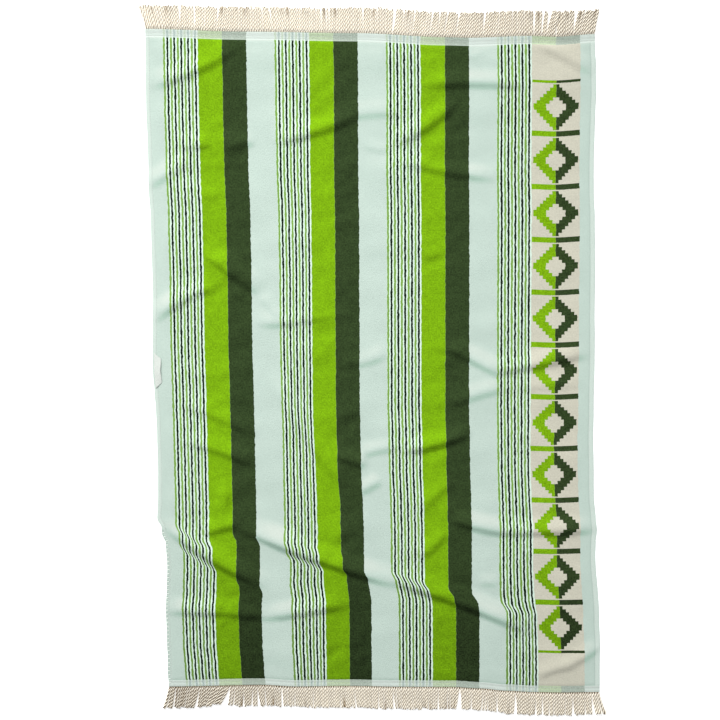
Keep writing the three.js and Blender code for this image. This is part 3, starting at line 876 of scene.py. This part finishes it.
def make_stitches():
    """The lines of stitches along all four hems"""
    across = np.arange(-HALF_WIDE + STITCH_INSET, HALF_WIDE - STITCH_INSET, STITCH_PITCH)
    down = np.arange(TOP_HEM + SIDE_STITCH_INSET, CLOTH_LENGTH - BOTTOM_HEM, STITCH_PITCH)
    from_middle = HALF_WIDE - SIDE_STITCH_LINE
    rows = [stitched_row(across, line) for line in TOP_STITCH_LINES]
    rows += [stitched_row(across, CLOTH_LENGTH - line) for line in BOTTOM_STITCH_LINES]
    rows += [stitched_row(side * from_middle, down) for side in (-1, 1)]
    points, faces = joined(rows)
    return mesh_object("hem_stitches", points, faces)


def make_whipping():
    """Short threads wound over the lower left edge"""
    down = np.arange(WHIP_START, CLOTH_LENGTH - WHIP_STOP, WHIP_PITCH)
    inner = surface(-HALF_WIDE + WHIP_FROM, down)
    outer = surface(-HALF_WIDE + WHIP_TO, down)
    centres = (inner + outer) / 2 + UP * WHIP_PROUD
    points, faces = stitch_mesh(centres, unit(outer - inner), UP, *WHIP_SIZE)
    return mesh_object("edge_whipping", points, faces)


class Shader:
    """Builds one material's nodes. Each method gives the socket of what it made."""

    def __init__(self, name):
        self.material = bpy.data.materials.new(name)
        self.material.use_nodes = True
        self.tree = self.material.node_tree
        self.surface = self.tree.nodes["Principled BSDF"]

    def node(self, kind, inputs=(), **settings):
        made = self.tree.nodes.new(kind)
        for key, value in settings.items():
            setattr(made, key, value)
        for key, value in dict(inputs).items():
            self.put(made.inputs[key], value)
        return made

    def put(self, socket, value):
        if isinstance(value, bpy.types.NodeSocket):
            self.tree.links.new(value, socket)
        elif isinstance(value, tuple) and len(value) == 3 and len(socket.default_value) == 4:
            socket.default_value = (*value, 1.0)
        else:
            socket.default_value = value

    def attribute(self, name, output="Vector"):
        return self.node("ShaderNodeAttribute", attribute_name=name).outputs[output]

    def parts(self, vector):
        return list(self.node("ShaderNodeSeparateXYZ", {0: vector}).outputs)

    def math(self, operation, first, second=0.0):
        return self.node("ShaderNodeMath", {0: first, 1: second}, operation=operation).outputs[0]

    def where(self):
        """The place on the object, in metres"""
        return self.node("ShaderNodeTexCoord").outputs["Object"]

    def chain(self, operation, total, *values):
        for value in values:
            total = self.math(operation, total, value)
        return total

    def times(self, *values):
        return self.chain("MULTIPLY", *values)

    def plus(self, *values):
        return self.chain("ADD", *values)

    def minus(self, *values):
        return self.chain("SUBTRACT", *values)

    def most(self, *values):
        return self.chain("MAXIMUM", *values)

    def step(self, value, low, high):
        """0 below low and 1 above high, eased between"""
        inputs = {0: value, 1: low, 2: high}
        made = self.node("ShaderNodeMapRange", inputs, interpolation_type="SMOOTHSTEP")
        return made.outputs[0]

    def between(self, value, low, high, edge):
        """1 from low to high and 0 outside, with edges this soft"""
        rising = self.step(value, low - edge, low + edge)
        falling = self.step(value, high + edge, high - edge)
        return self.times(rising, falling)

    def noise(self, vector, scale, detail=2.0, rough=0.5):
        """Noise from about -0.5 to 0.5"""
        inputs = {"Vector": vector, "Scale": scale, "Detail": detail, "Roughness": rough}
        return self.minus(self.node("ShaderNodeTexNoise", inputs).outputs[0], 0.5)

    def mix(self, share, first, second):
        inputs = {0: share, 6: first, 7: second}
        return self.node("ShaderNodeMix", inputs, data_type="RGBA").outputs[2]

    def weighed(self, *pairs):
        """The sum of values, each times its weight"""
        return self.plus(*[self.times(*pair) for pair in pairs])

    def shade(self, colour, *pairs):
        """The colour, lighter or darker by the sum of values that are each times their weight"""
        value = self.plus(1.0, *[self.times(*pair) for pair in pairs])
        inputs = {0: colour, 3: value}
        return self.node("ShaderNodeVectorMath", inputs, operation="SCALE").outputs[0]

    def bump(self, height, distance, strength):
        made = self.node("ShaderNodeBump", {"Strength": strength, "Distance": distance * MM})
        self.put(made.inputs["Height"], height)
        self.put(self.surface.inputs["Normal"], made.outputs[0])

    def finish(self, colour, roughness, **constants):
        """Sets colour and roughness, and constants on the shader's own sockets"""
        self.put(self.surface.inputs["Base Color"], colour)
        self.put(self.surface.inputs["Roughness"], roughness)
        for key, value in constants.items():
            socket = key.replace("_", " ").title().replace("Ior", "IOR")
            self.put(self.surface.inputs[socket], value)
        return self.material


Stripes = namedtuple("Stripes", "thin thin_green thin_dark lime dark panel left right")


def woven_stripes(s, u):
    """How much of each stripe there is, and of the left and right half of the panel"""
    repeat = s.math("MODULO", s.minus(u, STRIPES_START), REPEAT)
    pair = s.math("MODULO", repeat, PAIR)
    striped = s.between(u, STRIPES_START, STRIPES_END, AREA_SOFT)
    thin = s.times(striped, s.between(repeat, 0.0, LIME[0], AREA_SOFT))
    panel = s.between(u, STRIPES_END, PANEL_END, EDGE_SOFT)
    beyond = s.step(u, PANEL_SPLIT - EDGE_SOFT, PANEL_SPLIT + EDGE_SOFT)
    return Stripes(
        thin,
        s.times(thin, s.between(pair, *THIN_GREEN, EDGE_SOFT)),
        s.times(thin, s.between(pair, *THIN_DARK, EDGE_SOFT)),
        s.times(striped, s.between(repeat, *LIME, EDGE_SOFT)),
        s.times(striped, s.between(repeat, *DARK, EDGE_SOFT)),
        panel,
        s.times(panel, s.minus(1.0, beyond)),
        s.times(panel, beyond),
    )


def panel_figures(s, u, v):
    """How much of the figures there is: lozenges and the bars between them"""
    middle = (STRIPES_END + PANEL_END) / 2
    turn = s.math("MODULO", s.minus(v, FIGURES_START), FIGURE_PITCH)
    off_down = s.math("ABSOLUTE", s.minus(turn, FIGURE_PITCH / 2))
    off_across = s.math("ABSOLUTE", s.minus(u, middle))
    steps = [
        s.math("FLOOR", s.math("DIVIDE", off, FIGURE_STEP)) for off in (off_across, off_down)
    ]
    lozenge = s.between(s.plus(*steps), *FIGURE_RING, RING_SOFT)
    bar_side = FIGURE_PITCH / 2 - BAR_HALF
    bar = s.step(off_down, bar_side - AREA_SOFT, bar_side + AREA_SOFT)
    there = s.between(v, FIGURES_START, FIGURES_END, AREA_SOFT)
    return s.times(there, s.most(lozenge, bar))


def pile_colour(s, stripes, figures, noises, nap, down):
    """The dyed pile, mottled, with painted light and shade by its slope to the light"""
    lime = s.most(stripes.lime, s.times(figures, stripes.left))
    dark = s.most(stripes.dark, s.times(figures, stripes.right))
    # painted light and shade: lit and shaded copies of mint, by the slope to the light
    mint = s.mix(s.step(nap, -MINT_SLOPE, 0.0), MINT_SHADE, MINT)
    mint = s.mix(s.step(nap, 0.0, MINT_SLOPE), mint, MINT_LIT)
    colour = s.mix(stripes.thin, mint, WHITE)
    colour = s.mix(stripes.thin_green, colour, THIN_GREEN_COLOUR)
    colour = s.mix(stripes.thin_dark, colour, THIN_DARK_COLOUR)
    colour = s.mix(stripes.panel, colour, CREAM)
    colour = s.mix(lime, colour, LIME_GREEN)
    colour = s.mix(dark, colour, DARK_GREEN)
    shown = s.plus(LEAST_SHOWN, s.weighed((lime, 0.4), (dark, 0.7), (stripes.panel, 0.1)))
    # the grain and patches are the pile's own; its slope to the light adds painted light and shade
    uneven_and_painted_light = s.weighed((noises.grain, 2.2), (noises.patches, 0.8), (nap, 0.55))
    # painted shade: the dyed stripes darken towards the bottom end
    bottom_shade = s.weighed((stripes.thin_green, THIN_BOTTOM_SHADE), (lime, LIME_BOTTOM_SHADE), (dark, DARK_BOTTOM_SHADE))
    return s.shade(
        colour, (shown, uneven_and_painted_light), (bottom_shade, s.step(down, BOTTOM_SHADE_START, BOTTOM_SHADE_END)),
        (noises.mottle, 0.08), (noises.loops, 0.1),
    )


def end_hem_colour(s, stripes, noises, down):
    """The flat woven end hems, which are paler and have faint lines along them, and a painted
    shadow of the cords over the top hem's dyed stripes
    """
    colour = HEM_MINT
    for stripe, (most, broken), hue in (
        (stripes.thin_green, HEM_GREEN_LINE, HEM_THIN_GREEN),
        (stripes.thin_dark, HEM_DARK_LINE, HEM_THIN_DARK),
    ):
        colour = s.mix(s.times(stripe, s.plus(most, s.times(noises.grain, broken))), colour, hue)
    colour = s.mix(s.most(stripes.lime, stripes.left), colour, HEM_LIME)
    colour = s.mix(s.most(stripes.dark, stripes.right), colour, HEM_DARK)
    dyed = s.most(stripes.lime, stripes.dark, stripes.panel)
    # painted shadow of the top fringe's cords on the outer part of the top hem
    outer = s.step(down, *HEM_CORD_SHADOW)
    specks_and_shadow = s.weighed((noises.grain, 0.9), (outer, -0.07))
    shades = [(noises.loops, 0.15), (noises.grain, 0.08), (dyed, specks_and_shadow)]
    from_bottom = s.minus(CLOTH_LENGTH, down)
    for away, bands in ((down, TOP_BANDS), (from_bottom, BOTTOM_BANDS)):
        for at, half, lighter in bands:
            shades.append((s.between(away, at - half, at + half, BAND_SOFT), lighter))
    return s.shade(colour, *shades)


def with_side_hems(s, colour, across, down):
    """The colour with the paler side hems, their seams, and painted shade between the whipping's
    threads
    """
    side = s.minus(HALF_WIDE, s.math("ABSOLUTE", across))
    on_left = s.step(across, 1.0, -1.0)
    whipped = s.times(on_left, s.step(down, WHIP_START - WHIP_BLEND, WHIP_START))
    inward = s.minus(side, s.plus(SIDE_HEM, s.times(on_left, LEFT_HEM - SIDE_HEM)))
    pale = s.plus(SIDE_HEM_PALE, s.times(whipped, WHIPPED_PALE - SIDE_HEM_PALE))
    hem = s.times(s.step(inward, SIDE_HEM_SOFT, -SIDE_HEM_SOFT), pale)
    seam = s.between(inward, *SEAM, SEAM_SOFT)
    # painted shade in the gaps between the whipping's threads
    turn = s.math("MODULO", s.minus(down, WHIP_START - WHIP_PITCH / 2), WHIP_PITCH)
    gap_shade = s.times(whipped, s.step(side, *GAP_SHADE_REACH), s.between(turn, *GAP_SHADE_SPAN, GAP_SHADE_SOFT))
    return s.shade(s.mix(hem, colour, HEM_MINT), (seam, -0.07), (gap_shade, -0.2))


def terry_material():
    """Looped pile, striped, with flat woven end hems and narrow side hems"""
    s = Shader("striped_terry")
    place = s.attribute("place")
    # painted light and shade come from how far each point's slope faces the light
    nap = s.attribute("nap", "Fac")
    across, down, _ = s.parts(place)
    noises = Noises(*[s.noise(place, scale) for scale in NOISE_SCALES])
    stretched = s.node("ShaderNodeVectorMath", {0: place, 1: WANDER_SCALES}, operation="MULTIPLY")
    wander = s.times(s.noise(stretched.outputs[0], scale=1.0, detail=1.0), WANDER_SHIFT)
    u = s.plus(across, s.times(noises.grain, GRAIN_SHIFT[0]), wander)
    v = s.plus(down, s.times(noises.grain, GRAIN_SHIFT[1]))
    stripes = woven_stripes(s, u)
    colour = pile_colour(s, stripes, panel_figures(s, u, v), noises, nap, down)
    colour = with_side_hems(s, colour, across, down)
    inner = s.between(v, TOP_HEM, CLOTH_LENGTH - BOTTOM_HEM, HEM_SOFT)
    colour = s.mix(inner, end_hem_colour(s, stripes, noises, down), colour)
    ribs = s.times(s.math("SINE", s.times(down, 2 * math.pi / RIB_PITCH)), 0.25)
    pile = s.weighed((noises.loops, 1.2), (noises.grain, 0.8))
    height = s.node("ShaderNodeMix", {0: inner, 2: ribs, 3: pile}).outputs[0]
    s.bump(height, distance=0.9, strength=0.8)
    roughness = s.plus(0.92, s.times(noises.loops, 0.1))
    return s.finish(colour, roughness, specular_ior_level=0.04)


def cord_material():
    """Natural cotton twist, with painted shade in its grooves and a painted shadow on the bottom
    heading; darker and browner where its tint and painted shade is low
    """
    s = Shader("twisted_cotton")
    deep = s.attribute("deep", "Fac")
    tint = s.attribute("tint", "Fac")
    fibre = s.noise(s.where(), scale=1500.0, detail=3.0, rough=0.7)
    patch = s.noise(s.where(), scale=60.0)
    # painted shade of sunk cords and of cords made darker by place
    colour = s.mix(s.step(tint, *SHADED_TINTS), CORD_COLOUR, CORD_SHADE)
    # painted shade in the grooves
    colour = s.mix(s.step(deep, *GROOVE_TONES), colour, CORD_GROOVE_SHADE)
    # painted shadow on the bottom heading
    colour = s.mix(s.step(deep, *HEADING_SHADOW_TONES), colour, HEADING_SHADOW_COLOUR)
    colour = s.shade(colour, (tint, 0.025), (fibre, 0.3), (patch, 0.12))
    s.bump(fibre, distance=0.5, strength=0.6)
    roughness = s.plus(0.88, s.times(fibre, 0.1))
    return s.finish(
        colour, roughness, sheen_weight=0.1, sheen_roughness=0.5, specular_ior_level=0.1
    )


def tape_material():
    """White cotton tape with a slanting twill"""
    s = Shader("twill_tape")
    place = s.attribute("place")
    across, along, _ = s.parts(place)
    diagonal = s.plus(along, s.times(across, TWILL_SLANT))
    twill = s.math("SINE", s.times(diagonal, 2 * math.pi / TWILL_PITCH))
    grain = s.noise(place, scale=1.6)
    colour = s.shade(TAPE_COLOUR, (twill, 0.04), (grain, 0.12))
    s.bump(s.plus(s.times(twill, 0.5), grain), distance=0.3, strength=0.7)
    roughness = s.plus(0.85, s.times(grain, 0.1))
    return s.finish(colour, roughness, sheen_weight=0.15, specular_ior_level=0.25)


def thread_material():
    """White sewing thread"""
    s = Shader("sewing_thread")
    grain = s.noise(s.where(), scale=2500.0)
    colour = s.shade(THREAD_COLOUR, (grain, 0.2))
    s.bump(grain, distance=0.2, strength=0.6)
    roughness = s.plus(0.7, s.times(grain, 0.1))
    return s.finish(colour, roughness, sheen_weight=0.1, specular_ior_level=0.3)


def floor_material():
    """A pale, even floor that glows a little"""
    s = Shader("pale_floor")
    grain = s.noise(s.where(), scale=40.0)
    colour = s.shade(FLOOR_COLOUR, (grain, 0.01))
    roughness = s.plus(0.9, s.times(grain, 0.05))
    return s.finish(colour, roughness, specular_ior_level=0.1, emission_strength=0.3)


def add_area_light(name, place, target, size, spread, power, colour):
    """A rectangular light that points at its target, with its spread in degrees"""
    data = bpy.data.lights.new(name, "AREA")
    data.spread = math.radians(spread)
    data.shape = "RECTANGLE"
    data.size, data.size_y = size
    data.energy = power
    data.color = colour
    lamp = bpy.data.objects.new(name, data)
    lamp.location = place
    aim = Vector(target) - Vector(place)
    lamp.rotation_euler = aim.to_track_quat("-Z", "Y").to_euler()
    bpy.context.scene.collection.objects.link(lamp)


cloth = make_cloth()
fringe_top = make_fringe(
    "fringe_cords_top", 0.0, 1, TOP_SLITS, TOP_LENGTHS, TOP_TWIST, TOP_TONE, seed=3
)
fringe_bottom = make_fringe(
    "fringe_cords_bottom", CLOTH_LENGTH, -1, BOTTOM_SLITS, BOTTOM_LENGTHS, BOTTOM_TWIST,
    BOTTOM_TONE, seed=4,
)
loop = make_loop()
stitches = make_stitches()
whipping = make_whipping()

# Everything moves by the small step that puts the cloth where the frame has it
frame_low, frame_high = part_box("cloth")
corners = np.array([corner[:] for corner in cloth.bound_box])
middle = (corners.min(axis=0) + corners.max(axis=0)) / 2
shift = (frame_low + frame_high) / 2 - Vector(middle.tolist())
shift.z = 0.0

cord_look = cord_material()
thread_look = thread_material()
PIECES = [
    (cloth, terry_material(), "terry", ["cloth"]),
    (fringe_top, cord_look, "cord", ["fringe_top"]),
    (fringe_bottom, cord_look, "cord", ["fringe_bottom"]),
    (loop, tape_material(), "tape", ["hanging_loop"]),
    (stitches, thread_look, "tape", []),
    (whipping, thread_look, "tape", []),
]
for piece, material, slot, nodes in PIECES:
    piece.location = shift
    piece.data.materials.append(material)
    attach(piece, "root")
    if nodes:
        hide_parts(*nodes)

# The floor and the light
bpy.ops.mesh.primitive_plane_add(size=14, location=(0, 0, -FLOOR_DROP))
floor = bpy.context.object
floor.name = "floor"
floor.data.materials.append(floor_material())

add_area_light(
    "key_light", (-1.2, 3.2, 2.6), (-0.1, -0.2, 0), size=(2.2, 1.5), spread=52, power=28,
    colour=(1.0, 0.99, 0.97),
)
world = bpy.data.worlds.new("studio")
world.use_nodes = True
background = world.node_tree.nodes["Background"]
background.inputs["Color"].default_value = (0.97, 0.985, 1.0, 1.0)
background.inputs["Strength"].default_value = 0.77
bpy.context.scene.world = world
bpy.context.scene.view_settings.view_transform = "Standard"

# The camera
camera_data = bpy.data.cameras.new("camera")
camera_data.lens = 77.37
camera_data.sensor_width = 36.0
camera = bpy.data.objects.new("camera", camera_data)
camera.location = (-0.0365, 0.3018, 3.4882)
camera.rotation_euler = (math.radians(-4.7), 0.0, 0.0)
bpy.context.scene.collection.objects.link(camera)
bpy.context.scene.camera = camera
